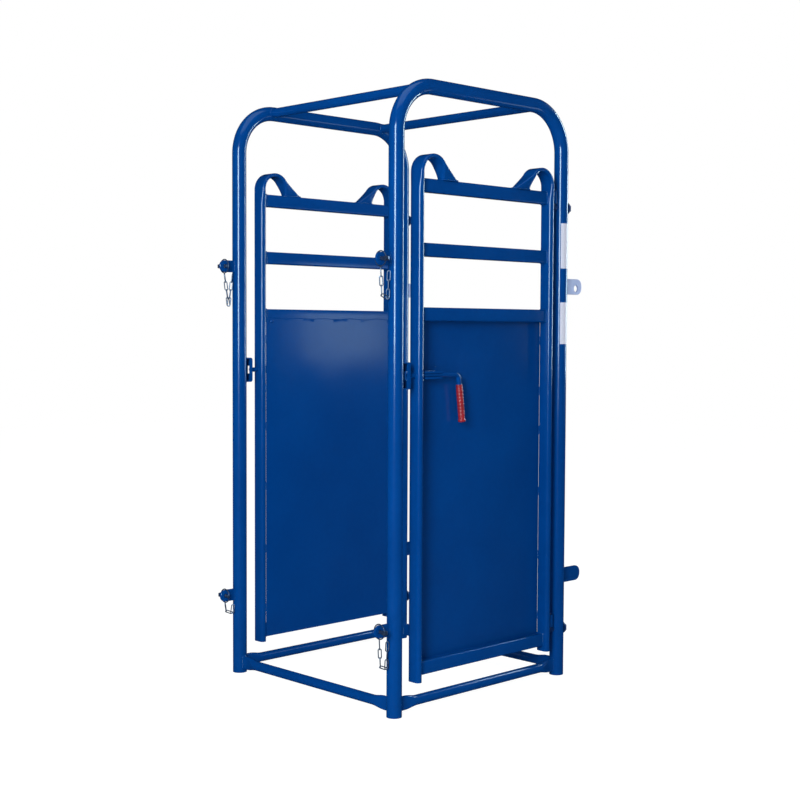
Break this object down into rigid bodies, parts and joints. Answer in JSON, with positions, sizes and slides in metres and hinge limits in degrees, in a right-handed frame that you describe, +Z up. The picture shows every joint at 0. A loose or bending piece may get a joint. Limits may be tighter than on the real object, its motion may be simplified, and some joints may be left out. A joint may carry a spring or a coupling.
{
  "type": "artificial insemination cage",
  "caption": "Walk-through tube cage for cattle work, with a sheeted, bolt-latched swing gate on each side and lugs that pin it behind a chute.",
  "frame": {"origin": "centre of the bounding box at the floor, under the middle of the walkway and level with the legs' feet", "axes": "+Z up, -Y the open front whose legs carry the pinned lugs, +Y the open rear with the tabs, +X the right-hand gate"},
  "size_m": [0.879, 1.033, 2.0637],
  "materials": {
    "blue_paint": "gloss",
    "zinc_plate": "satin",
    "dark_steel": "satin",
    "red_vinyl": "satin"
  },
  "bodies": {
    "frame": {"hoop_left": "blue_paint", "hoop_right": "blue_paint", "top_rail_front": "blue_paint", "top_rail_rear": "blue_paint", "lower_rail_front": "blue_paint", "lower_rail_rear": "blue_paint", "lower_rail_left": "blue_paint", "lower_rail_right": "blue_paint", "front_lug_lower_left": "blue_paint", "front_lug_upper_left": "blue_paint", "front_lug_lower_right": "blue_paint", "front_lug_upper_right": "blue_paint", "rear_tab_lower_left": "blue_paint", "rear_tab_upper_left": "zinc_plate", "rear_tab_lower_right": "blue_paint", "rear_tab_upper_right": "zinc_plate", "keeper_left": "blue_paint", "keeper_right": "blue_paint", "hinge_bolt_lower_left": "dark_steel", "hinge_bolt_upper_left": "dark_steel", "hinge_bolt_lower_right": "dark_steel", "hinge_bolt_upper_right": "dark_steel", "hinge_nut_lower_left": "dark_steel", "hinge_nut_upper_left": "dark_steel", "hinge_nut_lower_right": "dark_steel", "hinge_nut_upper_right": "dark_steel", "chain_lower_left": "zinc_plate", "chain_upper_left": "zinc_plate", "chain_lower_right": "zinc_plate", "chain_upper_right": "zinc_plate"},
    "gate_left": {"stile_latch_left": "blue_paint", "stile_hinge_left": "blue_paint", "gate_top_rail_left": "blue_paint", "gate_second_rail_left": "blue_paint", "panel_top_rail_left": "blue_paint", "panel_bottom_rail_left": "blue_paint", "sheet_left": "blue_paint", "bolt_guide_left": "blue_paint"},
    "gate_right": {"stile_latch_right": "blue_paint", "stile_hinge_right": "blue_paint", "gate_top_rail_right": "blue_paint", "gate_second_rail_right": "blue_paint", "panel_top_rail_right": "blue_paint", "panel_bottom_rail_right": "blue_paint", "sheet_right": "blue_paint", "bolt_guide_right": "blue_paint"},
    "bolt_left": {"slide_bolt_left": "blue_paint", "grip_left": "red_vinyl"},
    "bolt_right": {"slide_bolt_right": "blue_paint", "grip_right": "red_vinyl"},
    "pin_lower_left": {"snap_pin_lower_left": "zinc_plate"},
    "pin_upper_left": {"snap_pin_upper_left": "zinc_plate"},
    "pin_lower_right": {"snap_pin_lower_right": "zinc_plate"},
    "pin_upper_right": {"snap_pin_upper_right": "zinc_plate"},
    "ring_lower_left": {"snap_ring_lower_left": "zinc_plate"},
    "ring_upper_left": {"snap_ring_upper_left": "zinc_plate"},
    "ring_lower_right": {"snap_ring_lower_right": "zinc_plate"},
    "ring_upper_right": {"snap_ring_upper_right": "zinc_plate"}
  },
  "joints": [
    {"name": "gate_right_swing", "type": "hinge", "parent": "frame", "child": "gate_right", "pos_m": [0.4075, 0.345, 0], "axis": [0, 0, 1], "range_deg": [-32, 90]},
    {"name": "gate_left_swing", "type": "hinge", "parent": "frame", "child": "gate_left", "pos_m": [-0.4075, 0.345, 0], "axis": [0, 0, -1], "range_deg": [-32, 90]},
    {"name": "bolt_right_slide", "type": "slide", "parent": "gate_right", "child": "bolt_right", "axis": [0, 1, 0], "range_m": [-0.0175, 0.031]},
    {"name": "bolt_left_slide", "type": "slide", "parent": "gate_left", "child": "bolt_left", "axis": [0, 1, 0], "range_m": [-0.0175, 0.031]},
    {"name": "pin_lower_right_draw", "type": "slide", "parent": "frame", "child": "pin_lower_right", "axis": [1, 0, 0], "range_m": [0, 0.045]},
    {"name": "pin_upper_right_draw", "type": "slide", "parent": "frame", "child": "pin_upper_right", "axis": [1, 0, 0], "range_m": [0, 0.045]},
    {"name": "pin_lower_left_draw", "type": "slide", "parent": "frame", "child": "pin_lower_left", "axis": [-1, 0, 0], "range_m": [0, 0.045]},
    {"name": "pin_upper_left_draw", "type": "slide", "parent": "frame", "child": "pin_upper_left", "axis": [-1, 0, 0], "range_m": [0, 0.045]},
    {"name": "ring_lower_right_swing", "type": "hinge", "parent": "pin_lower_right", "child": "ring_lower_right", "pos_m": [0.4315, -0.4955, 0.288], "axis": [0, 0, 1], "range_deg": [0, 180]},
    {"name": "ring_upper_right_swing", "type": "hinge", "parent": "pin_upper_right", "child": "ring_upper_right", "pos_m": [0.4315, -0.4955, 1.476], "axis": [0, 0, 1], "range_deg": [0, 180]},
    {"name": "ring_lower_left_swing", "type": "hinge", "parent": "pin_lower_left", "child": "ring_lower_left", "pos_m": [-0.4315, -0.4955, 0.288], "axis": [0, 0, -1], "range_deg": [0, 180]},
    {"name": "ring_upper_left_swing", "type": "hinge", "parent": "pin_upper_left", "child": "ring_upper_left", "pos_m": [-0.4315, -0.4955, 1.476], "axis": [0, 0, -1], "range_deg": [0, 180]}
  ],
  "couplings": [
    {"joint": "ring_lower_right_swing", "follows": "pin_lower_right_draw", "rad_per_m": 69.813},
    {"joint": "ring_upper_right_swing", "follows": "pin_upper_right_draw", "rad_per_m": 69.813},
    {"joint": "ring_lower_left_swing", "follows": "pin_lower_left_draw", "rad_per_m": 69.813},
    {"joint": "ring_upper_left_swing", "follows": "pin_upper_left_draw", "rad_per_m": 69.813}
  ]
}
